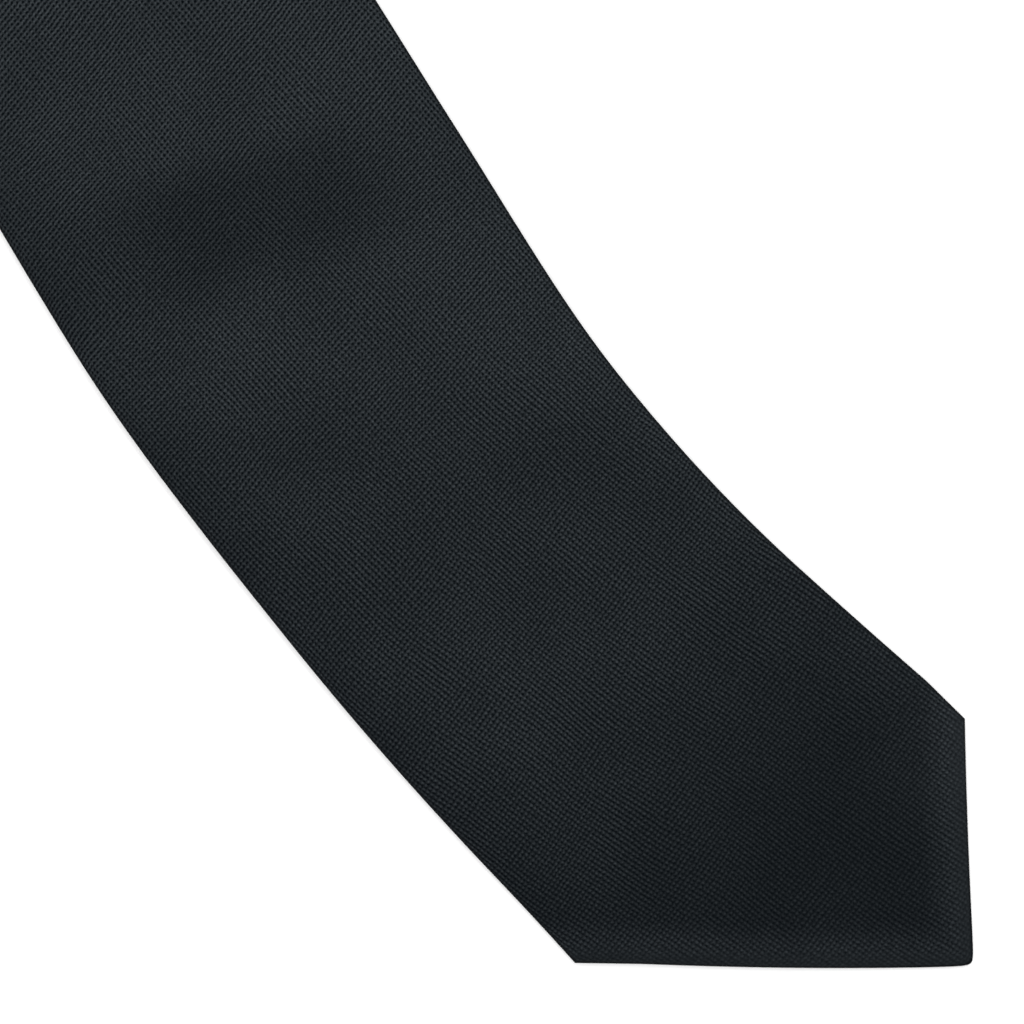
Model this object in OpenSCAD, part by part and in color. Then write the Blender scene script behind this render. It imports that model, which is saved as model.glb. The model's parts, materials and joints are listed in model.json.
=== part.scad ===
// Necktie laid out flat at full length, face up. All sizes in millimetres.
// X runs along the tie with the wide blade's point at +X, Z is up from the plane it rests on.
// Stations are measured along the centre line, from the wide point (0) to the narrow point.
// The wide blade and the tail fold over the neck at the two bias seams.

/* [Length] */
// Wide blade, from its point to the blade seam
blade_l = 740; // [700:10:760]
// Neck piece between the two seams
neck_l = 260; // [240:10:300]
// Tail, from the tail seam to its point
tail_l = 480; // [460:10:520]

/* [Width] */
// Wide blade at its corners
blade_w = 84.5; // [80:0.5:90]
// Slight waist a hand's width above the point
waist_w = 79.2; // [78:0.2:84]
// Blade above the waist, before it tapers
upper_w = 82.6; // [80:0.2:90]
// Neck at its narrowest
neck_w = 31; // [28:0.5:36]
// Tail at its corners
tail_w = 39; // [36:0.5:44]

/* [Points] */
// Angle of the wide point
point_angle = 87; // [84:1:92]
// How far the wide point sits off the centre line
point_offset = 9.8; // [0:0.1:11]
// Angle of the narrow point
tail_angle = 90; // [86:1:94]

/* [Layers] */
// Whole thickness of the pressed tie
tie_t = 3.8; // [3.6:0.1:4]
// Thickness at the two points
point_t = 2.3; // [2.2:0.1:2.6]
// Shell cloth
cloth_t = 0.5; // [0.4:0.05:0.55]
// Tipping cloth that lines the two ends
lining_t = 0.3; // [0.2:0.05:0.3]

/* [Back] */
// Turned hem along the two points
hem_w = 3; // [2.6:0.1:4]
// Station of the wide bar tack, where the back seam starts
tack_s = 88; // [80:1:96]
// Tail bar tack, measured from the narrow point
tail_tack = 47; // [42:1:56]
// Tipping length from each point
lining_l = 150; // [130:5:170]
// Keeper loop, centre station
keeper_s = 186; // [176:1:192]
// Keeper loop along the tie
keeper_h = 12; // [9:1:14]
// Keeper loop across the tie
keeper_w = 50; // [44:1:54]
// Clear gap inside the keeper loop
keeper_gap = 0.9; // [0.7:0.1:0.9]
// Maker's label across the tie
label_w = 56; // [50:1:60]
// Maker's label along the tie
label_h = 26; // [20:1:28]
// Care label across the tail
care_w = 18; // [14:1:20]
// Care label along the tail
care_h = 24; // [20:1:28]

/* [Lie] */
// Plan direction of the wide point
point_heading = 7.5; // [5:0.5:9]
// How far the keeper holds the blade off the table
keeper_lift = 1.75; // [1.75:0.05:2.2]

/* [Hidden] */
tie_l = blade_l + neck_l + tail_l;
seam_a = blade_l;
seam_b = blade_l + neck_l;
// Half gap between the shell pieces at each seam
seam_gap = 0.2;
// Clearance between layers
ply = 0.1;
// Slit between the two turned-in edges at the centre back
slit = 0.5;
// How far the hem stitches reach past the hem's inner edge, and how far apart they are
hem_reach = 0.8;
hem_pitch = 4;
// Room kept between the inner layers and the rolled edge
inset = tie_t / 2 + 0.1;
// Stitch thread
thread_t = 0.35;
// Slip stitches: pitch, length and lean
slip_pitch = 11;
slip_l = 2.6;
slip_lean = 62;
// Bar tack: number of bars, their pitch, width and height
bars = 5;
bar_pitch = 0.5;
bar_w = 0.42;
bar_h = 0.4;
point_slope = tan(point_angle / 2);
tail_slope = tan(tail_angle / 2);
// Stations of the two wide corners and of the tail corners
corner_hi = (blade_w / 2 - point_offset) / point_slope;
corner_lo = (blade_w / 2 + point_offset) / point_slope;
tail_corner = tie_l - tail_w / 2 / tail_slope;
tail_tack_s = tie_l - tail_tack;
// Length of the tail's tipping, a shorter piece than the blade's
tail_lining_l = lining_l * 0.7;
tail_lining_s = tie_l - tail_lining_l;
// First and last stations, just inside the points, which are blunt
first_s = 1.3;
last_s = tie_l - 1.3;
// Keeper band, two layers of cloth
band_t = 0.55;
// Labels: thickness, the maker's label behind the keeper, the care label 108 from the narrow point
label_t = 0.3;
label_s = keeper_s + 33;
care_s = tie_l - 108;
// How far the care label holds the tail off the table
tail_lift = 0.7;

cloth = [0.135, 0.150, 0.162];
cloth_dark = [0.105, 0.118, 0.130];
lining = [0.075, 0.080, 0.090];
wool = [0.80, 0.77, 0.70];
thread = [0.085, 0.092, 0.102];
label = [0.17, 0.18, 0.20];

// ---- Helpers -------------------------------------------------------------

function ease(t) = let (x = min(1, max(0, t))) x * x * (3 - 2 * x);
function mix(a, b, t) = a + (b - a) * t;

// Bends of the centre line going back from the wide point: [length, turn in degrees]
bends = [
    [44, -2.4],
    [30, 0.6],
    [80, -10.2],
    [46, -3.9],
    [110, -1.2],
    [430, 9.6],
    [260, 3],
    [480, -6]
];

// Point and heading at station s: [x, y, heading]
function walk(s, i, x, y, h) =
    let (
        l = bends[i][0],
        last = i == len(bends) - 1,
        d = last ? s : min(s, l),
        turn = bends[i][1] * d / l,
        mid = h + turn / 2,
        half = turn / 2,
        chord = abs(half) < 0.001 ? d : d * sin(half) / (half * PI / 180),
        nx = x - chord * cos(mid),
        ny = y - chord * sin(mid)
    )
    s <= l || last ? [nx, ny, h + turn] : walk(s - l, i + 1, nx, ny, h + turn);
function line_at(s) = walk(s, 0, 0, 0, point_heading);

// Smooth curve through two stations [s, value, slope]
function curve(a, b, s) =
    let (
        d = b[0] - a[0],
        t = (s - a[0]) / d,
        t2 = t * t,
        t3 = t2 * t
    )
    a[1] * (2 * t3 - 3 * t2 + 1) + a[2] * d * (t3 - 2 * t2 + t)
    + b[1] * (3 * t2 - 2 * t3) + b[2] * d * (t3 - t2);

// Width of the tie away from its points: [station, width, slope]
widths = [
    [44, blade_w, -0.14],
    [130, waist_w, 0],
    [190, upper_w, 0],
    [460, mix(neck_w, blade_w, 0.54), -0.105],
    [seam_a - 40, neck_w + 2, -0.034],
    [seam_a + neck_l / 2, neck_w, 0],
    [seam_b + 40, neck_w + 1, 0.012],
    [tail_corner, tail_w, 0.014]
];
function width_from(s, i) =
    i == len(widths) - 2 || s <= widths[i + 1][0]
    ? curve(widths[i], widths[i + 1], s)
    : width_from(s, i + 1);
function full_w(s) =
    s <= widths[0][0] ? widths[0][1]
    : s >= tail_corner ? tail_w
    : width_from(s, 0);

// Left edge (+) and right edge (-) seen from above, facing the wide point
function edge_hi(s) = min(full_w(s) / 2, point_offset + s * point_slope, (tie_l - s) * tail_slope);
function edge_lo(s) = -min(full_w(s) / 2, s * point_slope - point_offset, (tie_l - s) * tail_slope);

// Thickness of the pressed tie
function thick(s) = mix(point_t, tie_t, min(ease(s / 30), ease((tie_l - s) / 22)));

// Height of the underside: the keeper and labels hold it off the table
function lift(s) =
    keeper_lift * ease((s - 48) / 104) * ease((345 - s) / 105)
    + tail_lift * ease((tie_l - 14 - s) / 40) * ease((s - (tie_l - 210)) / 70);

// Inner edges of the two back flaps
function flap_line(s, corner, tack) =
    slit / 2 + max(0, tack - s) * (blade_w / 2 - hem_w) / (tack - corner);
function tail_line(s) =
    slit / 2 + max(0, s - tail_tack_s) * (tail_w / 2 - hem_w) / (tail_corner - tail_tack_s);
function middle(s) = (edge_hi(s) + edge_lo(s)) / 2;
function flap_hi(s) =
    let (inner = s < seam_a ? flap_line(s, corner_hi, tack_s) : tail_line(s))
    max(middle(s) + slit / 2, min(edge_hi(s) - hem_w, inner));
function flap_lo(s) =
    let (inner = s < seam_a ? -flap_line(s, corner_lo, tack_s) : -tail_line(s))
    min(middle(s) - slit / 2, max(edge_lo(s) + hem_w, inner));

// Whole outline in plan, to centre the tie on the origin
outline = [
    for (s = [first_s : (last_s - first_s) / 400 : last_s])
        for (u = [edge_lo(s), edge_hi(s)])
            let (c = line_at(s))
            [c[0] - u * sin(c[2]), c[1] + u * cos(c[2])]
];
home_x = (min([for (p = outline) p[0]]) + max([for (p = outline) p[0]])) / 2;
home_y = (min([for (p = outline) p[1]]) + max([for (p = outline) p[1]])) / 2;

// Cross-section points [across, up] placed at station s
function ring(s, pts) =
    let (c = line_at(s), z = lift(s))
    [for (p = pts) [c[0] - home_x - p[0] * sin(c[2]), c[1] - home_y + p[0] * cos(c[2]), z + p[1]]];

// One closed solid through a list of rings that all have the same number of points
module sweep(rings) {
    n = len(rings[0]);
    m = len(rings);
    points = [for (r = rings) for (p = r) p];
    sides = [
        for (i = [0 : m - 2])
            for (j = [0 : n - 1])
                let (
                    a = i * n + j,
                    b = i * n + (j + 1) % n,
                    c = a + n,
                    d = b + n
                )
                each [[a, b, d], [a, d, c]]
    ];
    first = [for (j = [n - 1 : -1 : 0]) j];
    last = [for (j = [0 : n - 1]) (m - 1) * n + j];
    polyhedron(points, concat(sides, [first, last]));
}

// Stations from a to b no more than step apart, without the last one
function stations(a, b, step) =
    let (n = max(1, ceil((b - a) / step)))
    [for (i = [0 : n - 1]) a + (b - a) * i / n];

// Something small placed on the tie at station s, u across, v above its underside
module on_tie(s, u, v) {
    c = line_at(s);
    translate([c[0] - home_x - u * sin(c[2]), c[1] - home_y + u * cos(c[2]), lift(s) + v])
        rotate([0, 0, c[2]])
            children();
}

// ---- Shell ---------------------------------------------------------------

// Rolled edge: quarter points of an ellipse, out from u towards the side
function roll(u, side, rx, ry, up, mid) =
    [
        for (k = [-2 : 2])
            let (a = (up ? 45 : -45) * k)
            [u + side * rx * cos(a), mid + ry * sin(a)]
    ];

// Open tube of cloth: top, two rolled edges and two flaps that stop at the back slit
function tube(s) =
    let (
        hi = edge_hi(s),
        lo = edge_lo(s),
        t = thick(s),
        half = (hi - lo) / 2,
        rx = min(t / 2, half * 0.55),
        ix = max(rx - cloth_t, 0.12),
        iy = t / 2 - cloth_t,
        fh = flap_hi(s),
        fl = flap_lo(s)
    )
    concat(
        [[fh, 0]],
        roll(hi - rx, 1, rx, t / 2, true, t / 2),
        roll(lo + rx, -1, rx, t / 2, false, t / 2),
        [[fl, 0], [fl, cloth_t]],
        roll(lo + rx, -1, ix, iy, true, t / 2),
        roll(hi - rx, 1, ix, iy, false, t / 2),
        [[fh, cloth_t]]
    );
module shell(list) sweep([for (s = list) ring(s, tube(s))]);

module blade_shell() color(cloth) shell(concat(
    [first_s, 2.4, 4, 7, 11, 16, 22, 29],
    [corner_hi, (corner_hi + corner_lo) / 2, corner_lo],
    stations(corner_lo + 7, tack_s, 7),
    stations(tack_s, 200, 10),
    stations(200, seam_a - seam_gap, 16),
    [seam_a - seam_gap]
));

module neck_shell() color(cloth) shell(concat(
    stations(seam_a + seam_gap, seam_b - seam_gap, 16),
    [seam_b - seam_gap]
));

module tail_shell() color(cloth) shell(concat(
    stations(seam_b + seam_gap, tail_tack_s, 16),
    stations(tail_tack_s, tail_corner, 6),
    [tail_corner, tie_l - 16, tie_l - 12, tie_l - 8, tie_l - 5, tie_l - 2.6, last_s]
));

// ---- Inner layers --------------------------------------------------------

// 1 where the tipping lies under the interlining, 0 beyond its end
function lined(s) = max(ease((lining_l + 12 - s) / 10), ease((s - tail_lining_s + 12) / 10));

function slab(s, low, high) =
    let (
        hi = edge_hi(s) - inset,
        lo = edge_lo(s) + inset,
        mid = (low + high) / 2,
        out = min(0.9, (high - low) / 2)
    )
    [[hi, low], [hi + out, mid], [hi, high], [lo, high], [lo - out, mid], [lo, low]];
function pad(s) = slab(s, cloth_t + ply + (lining_t + ply) * lined(s), thick(s) - cloth_t - ply);
module interlining(list) sweep([for (s = list) ring(s, pad(s))]);

module blade_interlining() color(wool) interlining(concat(
    [6, 11, 16, 22, 29, corner_hi, corner_lo],
    stations(corner_lo + 12, lining_l, 14),
    stations(lining_l, lining_l + 14, 4),
    stations(lining_l + 14, seam_a - 0.6, 20),
    [seam_a - 0.6]
));

module neck_interlining() color(wool) interlining(concat(
    stations(seam_a + 0.6, seam_b - 0.6, 20),
    [seam_b - 0.6]
));

module tail_interlining() color(wool) interlining(concat(
    stations(seam_b + 0.6, tail_lining_s - 14, 20),
    stations(tail_lining_s - 14, tail_lining_s, 4),
    stations(tail_lining_s, tail_corner, 14),
    [tail_corner, tie_l - 12, tie_l - 7]
));

function sheet(s) =
    let (
        hi = edge_hi(s) - inset,
        lo = edge_lo(s) + inset,
        low = cloth_t + ply
    )
    [[hi, low], [hi, low + lining_t], [lo, low + lining_t], [lo, low]];
module tipping(list) sweep([for (s = list) ring(s, sheet(s))]);

module blade_tipping() color(lining) tipping(concat(
    [4.5, 10, 16, 22, 29, corner_hi, corner_lo],
    stations(corner_lo + 12, lining_l, 12),
    [lining_l]
));

module tail_tipping() color(lining) tipping(concat(
    stations(tail_lining_s, tail_corner, 12),
    [tail_corner, tie_l - 12, tie_l - 6]
));

// ---- Stitching -----------------------------------------------------------

// Short straight stitch lying along the tie, turned by angle a
module stitch(s, u, v, l, a) {
    on_tie(s, u, v)
        rotate([0, 0, a])
            cube([l, thread_t, thread_t], center = true);
}

// Slip stitches across the slit from station a to b
module slip_stitches(a, b) {
    for (s = [a : slip_pitch : b])
        stitch(s, 0, cloth_t / 2, slip_l, slip_lean);
}

// Bar tack: close satin bars across the slit
module bar_tack(s, l) {
    for (i = [0 : bars - 1])
        on_tie(s + i * bar_pitch, 0, bar_h / 4)
            cube([bar_w, l, bar_h], center = true);
}

// Stitches that hold the tipping to the turned hem, on the left (side 1) or right (side -1) of a point.
// from and to are distances back from the point, which is at station start; way is the direction back.
module hem_stitches(side, from, to, slope, offset, start, way) {
    l = 1.6;
    for (d = [from : hem_pitch : to])
        let (u = offset + side * (d * slope - hem_w + hem_reach))
        stitch(start + way * d, u, cloth_t + ply, l, way * side * atan(slope));
}

module blade_slip_stitch() color(thread) slip_stitches(tack_s + 8, seam_a - 8);
module neck_slip_stitch() color(thread) slip_stitches(seam_a + 8, seam_b - 8);
module tail_slip_stitch() color(thread) slip_stitches(seam_b + 8, tail_tack_s - 6);
module blade_bar_tack() color(thread) bar_tack(tack_s + 1, 7);
module tail_bar_tack() color(thread) bar_tack(tail_tack_s - 4, 5);

module blade_tip_stitch() color(thread) {
    hem_stitches(1, 9, corner_hi - 3, point_slope, point_offset, 0, 1);
    hem_stitches(-1, 9, corner_lo - 4, point_slope, point_offset, 0, 1);
}

module tail_tip_stitch() color(thread) {
    for (side = [-1, 1])
        hem_stitches(side, 8, 16, tail_slope, 0, tie_l, -1);
}

// Row of stitches across the tie where two shell pieces are sewn together
module seam_stitches(s) {
    half = full_w(s) / 2 - 3;
    n = 14;
    for (i = [0 : n - 1])
        on_tie(s, mix(-half, half, i / (n - 1)), tie_t - cloth_t / 2)
            cube([2.2, thread_t, cloth_t - 0.1], center = true);
}
module blade_seam_stitches() color(thread) seam_stitches(seam_a + 1.6);
module tail_seam_stitches() color(thread) seam_stitches(seam_b - 1.6);

// ---- Keeper loop and labels ----------------------------------------------

// Flat band that stands off the back of the blade, turned up to it at both ends
module keeper_loop() color(cloth_dark) {
    low = -keeper_gap - band_t;
    half = keeper_w / 2;
    end_w = 3;
    // Outer line of the band from one end to the other, then its inner line back
    band = [
        [-half, -0.05],
        [-half, low + 0.5],
        [-half + 0.5, low],
        [half - 0.5, low],
        [half, low + 0.5],
        [half, -0.05],
        [half - end_w, -0.05],
        [half - end_w, low + band_t],
        [-half + end_w, low + band_t],
        [-half + end_w, -0.05]
    ];
    sweep([for (s = stations(keeper_s - keeper_h / 2, keeper_s + keeper_h / 2 + 0.1, 4)) ring(s, band)]);
}

// Tacks through the turned ends of the keeper into the shell
module keeper_stitches() color(thread) {
    for (k = [-1, 1])
        for (i = [-2 : 2])
            on_tie(keeper_s + i * 2, k * (keeper_w / 2 - 1.5), -0.2)
                cube([1.2, thread_t, 1], center = true);
}

function patch(w, low, t) = [[w / 2, low], [w / 2, low + t], [-w / 2, low + t], [-w / 2, low]];
module label_patch(s, w, h, t)
    sweep([for (x = [-1, -0.5, 0, 0.5, 1]) ring(s + x * h / 2, patch(w, -0.05 - t, t))]);
module label_corners(s, w, h, t) {
    for (k = [-1, 1])
        for (j = [-1, 1])
            for (i = [0 : 2])
                on_tie(s + j * (h / 2 - 1.2), k * (w / 2 - 1.5 - i * 2), 0)
                    cube([thread_t, 1.3, 2 * t], center = true);
}
module maker_label() color(label) label_patch(label_s, label_w, label_h, label_t);
module maker_label_stitches() color(thread) label_corners(label_s, label_w, label_h, label_t);
module care_label() color(label) label_patch(care_s, care_w, care_h, label_t);
module care_label_stitches() color(thread) {
    for (i = [-3 : 3])
        on_tie(care_s - care_h / 2 + 1.5, i * 2.3, 0)
            cube([thread_t, 1.4, 2 * label_t], center = true);
}

blade_shell();
blade_tipping();
blade_interlining();
blade_slip_stitch();
blade_bar_tack();
blade_tip_stitch();
keeper_loop();
keeper_stitches();
maker_label();
maker_label_stitches();
neck_shell();
neck_interlining();
neck_slip_stitch();
blade_seam_stitches();
tail_seam_stitches();
tail_shell();
tail_tipping();
tail_interlining();
tail_slip_stitch();
tail_bar_tack();
tail_tip_stitch();
care_label();
care_label_stitches();
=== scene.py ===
import json
import math
import bpy
import bmesh
import numpy as np
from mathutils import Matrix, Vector


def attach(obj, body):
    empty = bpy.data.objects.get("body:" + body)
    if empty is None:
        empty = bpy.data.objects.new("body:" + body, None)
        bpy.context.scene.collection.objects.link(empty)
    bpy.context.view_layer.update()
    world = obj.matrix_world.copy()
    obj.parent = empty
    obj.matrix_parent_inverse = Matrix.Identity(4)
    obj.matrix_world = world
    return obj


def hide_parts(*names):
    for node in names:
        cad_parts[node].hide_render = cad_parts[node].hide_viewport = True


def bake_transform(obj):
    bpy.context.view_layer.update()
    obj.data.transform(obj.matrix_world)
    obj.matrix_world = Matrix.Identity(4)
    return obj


# ---------------------------------------------------------------- frame
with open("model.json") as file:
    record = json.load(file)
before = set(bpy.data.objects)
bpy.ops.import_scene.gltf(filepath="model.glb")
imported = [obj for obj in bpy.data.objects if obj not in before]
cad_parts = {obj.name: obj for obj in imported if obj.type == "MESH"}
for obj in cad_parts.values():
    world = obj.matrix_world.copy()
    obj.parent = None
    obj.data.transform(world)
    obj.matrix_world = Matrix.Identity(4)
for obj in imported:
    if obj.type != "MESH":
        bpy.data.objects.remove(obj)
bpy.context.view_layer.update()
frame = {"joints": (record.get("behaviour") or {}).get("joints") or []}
joints = {j["name"]: j for j in frame["joints"]}
MM = 0.001

# ---------------------------------------------------------------- the tie's own measures, in millimetres
# s runs along the tie from the wide point's tip, u across it from the centre line, and v up from
# its underside
BLADE_L, NECK_L, TAIL_L = 740.0, 260.0, 480.0
TIE_L = BLADE_L + NECK_L + TAIL_L
SEAM_A, SEAM_B = BLADE_L, BLADE_L + NECK_L     # the two bias seams, where the tie also folds
MIDDLE = SEAM_A + NECK_L / 2
BLADE_W, WAIST_W, UPPER_W, NECK_W, TAIL_W = 84.5, 79.2, 82.6, 31.0, 39.0
POINT_OFF = 9.8                                # the wide point's tip lies this far off the centre line
TIE_T, POINT_T = 3.8, 2.3                      # thickness, and thickness at either tip
CLOTH_T = 0.42
HEM = 3.0                                      # from a point's edge in to the turned hem's inner edge
TACK_S, TAIL_TACK = 88.0, 47.0                 # bar tacks, from each tip
KEEPER_S, KEEPER_W, KEEPER_H = 186.0, 50.0, 12.0
LABEL_S, LABEL_W, LABEL_H = 219.0, 56.0, 26.0
CARE_S, CARE_W, CARE_H = TIE_L - 108, 18.0, 24.0
KEEPER_LIFT, TAIL_LIFT = 1.75, 0.7             # how far the keeper and the care label hold the cloth up
POINT_HEADING = 7.5
BENDS = [(44, -2.4), (30, 0.6), (80, -10.2), (46, -3.9), (110, -1.2), (430, 9.6), (260, 3), (480, -6)]
BLADE_SLOPE = math.tan(math.radians(87 / 2))
TAIL_SLOPE = 1.0


def ease(t):
    x = np.clip(t, 0, 1)
    return x * x * (3 - 2 * x)


def mix(a, b, t):
    return a + (b - a) * t


# the centre line, walked in half-millimetre steps with the same bends as the CAD, and set in its
# place by the blade's fold
WALK_STEP, RUN_ON = 0.5, 20.0
walk_s = np.arange(-RUN_ON, TIE_L + RUN_ON + WALK_STEP, WALK_STEP)
bend_ends = np.cumsum([0] + [length for length, turn in BENDS])
headings = POINT_HEADING + np.cumsum([0] + [turn for length, turn in BENDS])
walk_h = np.radians(np.interp(walk_s, bend_ends, headings))
between = (walk_h[1:] + walk_h[:-1]) / 2
walk_x = np.concatenate([[0], -np.cumsum(np.cos(between)) * WALK_STEP])
walk_y = np.concatenate([[0], -np.cumsum(np.sin(between)) * WALK_STEP])
fold_x, fold_y, _ = joints["blade_fold"]["pos_m"]
walk_x += fold_x / MM - np.interp(SEAM_A, walk_s, walk_x)
walk_y += fold_y / MM - np.interp(SEAM_A, walk_s, walk_y)


def line_at(s):
    """Centre line at station s: x, y and heading."""
    return np.interp(s, walk_s, walk_x), np.interp(s, walk_s, walk_y), np.interp(s, walk_s, walk_h)


# (station, width, change of width per millimetre)
WIDTHS = [
    (44, BLADE_W, -0.14), (130, WAIST_W, 0), (190, UPPER_W, 0), (460, mix(NECK_W, BLADE_W, 0.54), -0.105),
    (SEAM_A - 40, NECK_W + 2, -0.034), (MIDDLE, NECK_W, 0), (SEAM_B + 40, NECK_W + 1, 0.012),
    (TIE_L - TAIL_W / 2, TAIL_W, 0.014),
]


def width_at(s):
    """Width at one station: a smooth curve through WIDTHS."""
    if s <= WIDTHS[0][0]:
        return BLADE_W
    if s >= WIDTHS[-1][0]:
        return TAIL_W
    for (s_a, w_a, slope_a), (s_b, w_b, slope_b) in zip(WIDTHS, WIDTHS[1:]):
        if s <= s_b:
            d = s_b - s_a
            t = (s - s_a) / d
            return (w_a * (2 * t**3 - 3 * t**2 + 1) + slope_a * d * (t**3 - 2 * t**2 + t)
                    + w_b * (3 * t**2 - 2 * t**3) + slope_b * d * (t**3 - t**2))


walk_w = np.array([width_at(s) for s in walk_s])


def half_w(s):
    return np.interp(s, walk_s, walk_w) / 2


def thick(s):
    """Thickness of the tie, thinner at both tips."""
    return mix(POINT_T, TIE_T, np.minimum(ease(s / 30), ease((TIE_L - s) / 22)))


def lift(s):
    """How far the underside is off the table, over the keeper and over the care label."""
    return (KEEPER_LIFT * ease((s - 48) / 104) * ease((345 - s) / 105)
            + TAIL_LIFT * ease((TIE_L - 14 - s) / 40) * ease((s - (TIE_L - 210)) / 70))


def place(s, u, v):
    """Station, distance across and height above the underside, to metres in the row frame."""
    s, u, v = (np.asarray(a, float) for a in (s, u, v))
    x, y, h = line_at(s)
    return np.stack([x - u * np.sin(h), y + u * np.cos(h), lift(s) + v], -1) * MM


def swell(s, u):
    """Soft unevenness of pressed cloth, in millimetres: long low waves, and two shallow bands across
    the blade."""
    band = s + 0.42 * u
    return (0.13 * np.sin(s / 17.0 + u / 23.0 + 0.6) * np.cos(u / 19.0 - s / 41.0)
            + 0.10 * np.sin(s / 31.0 - u / 14.0 + 2.1)
            + 0.05 * np.sin(s / 7.3 + u / 11.0) * np.sin(u / 8.7 + 1.0)
            - 0.30 * np.exp(-((band - 203) / 10) ** 2 - (u / 26) ** 2)
            + 0.22 * np.exp(-((band - 168) / 15) ** 2))


# ---------------------------------------------------------------- mesh helpers
FAR_FROM_EDGES = (50.0, 100.0)


def piece(name, points, faces, material, uv=None, edge=None, smooth=True):
    """A mesh object from points in metres. uv is the place in the cloth, and edge the distances
    from the folded edge and from the pointed hem, one pair of millimetres a point each."""
    me = bpy.data.meshes.new(name)
    me.from_pydata([tuple(p) for p in points], [], [tuple(int(i) for i in f) for f in faces])
    if uv is not None:
        loops = np.zeros(len(me.loops), int)
        me.loops.foreach_get("vertex_index", loops)
        if edge is None:
            edge = np.tile(FAR_FROM_EDGES, (len(uv), 1))
        for label, pairs in (("cloth", uv), ("edge", edge)):
            me.uv_layers.new(name=label).data.foreach_set("uv", np.asarray(pairs, np.float32)[loops].ravel())
    me.materials.append(material)
    me.validate()
    ob = bpy.data.objects.new(name, me)
    bpy.context.scene.collection.objects.link(ob)
    if smooth:
        me.polygons.foreach_set("use_smooth", [True] * len(me.polygons))
    return ob


def tidy_normals(ob):
    """Faces turned outwards on a closed mesh."""
    bm = bmesh.new()
    bm.from_mesh(ob.data)
    bmesh.ops.recalc_face_normals(bm, faces=bm.faces)
    bm.to_mesh(ob.data)
    bm.free()
    return ob


def thicken(ob, t):
    """Gives cloth its own thickness, inwards, and applies it."""
    m = ob.modifiers.new("cloth", "SOLIDIFY")
    m.thickness = t * MM
    m.offset = -1
    m.use_rim = True
    dg = bpy.context.evaluated_depsgraph_get()
    done = bpy.data.meshes.new_from_object(ob.evaluated_get(dg))
    done.name = ob.name
    ob.modifiers.clear()
    ob.data = done
    return ob


def grid_faces(rows, cols, flip=False, close=False):
    """Quads of a grid of points, row by row. close joins the last column to the first."""
    out = []
    for i in range(rows - 1):
        for j in range(cols - (0 if close else 1)):
            k = (j + 1) % cols
            a, b, c, d = i * cols + j, i * cols + k, (i + 1) * cols + k, (i + 1) * cols + j
            out.append((d, c, b, a) if flip else (a, b, c, d))
    return out


def closed_faces(rows, cols):
    """Faces of a tube of rings with both its ends capped."""
    first, last = range(cols - 1, -1, -1), range((rows - 1) * cols, rows * cols)
    return grid_faces(rows, cols, close=True) + [tuple(first), tuple(last)]


def steps(*spans):
    """Values through spans of (from, to, step)."""
    out = []
    for a, b, d in spans:
        n = max(1, int(round(abs(b - a) / d)))
        out += list(a + (b - a) * np.arange(n) / n)
    return np.array(out + [spans[-1][1]])


# ---------------------------------------------------------------- materials
TURN = 2 * math.pi
BACK_STEP = 0.6                        # a strip's underside is laid out this much past its upper side


def material(name):
    """A new material, its nodes and its shader."""
    m = bpy.data.materials.new(name)
    m.use_nodes = True
    bsdf = next(n for n in m.node_tree.nodes if n.type == "BSDF_PRINCIPLED")
    return m, Nodes(m.node_tree), bsdf


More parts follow.
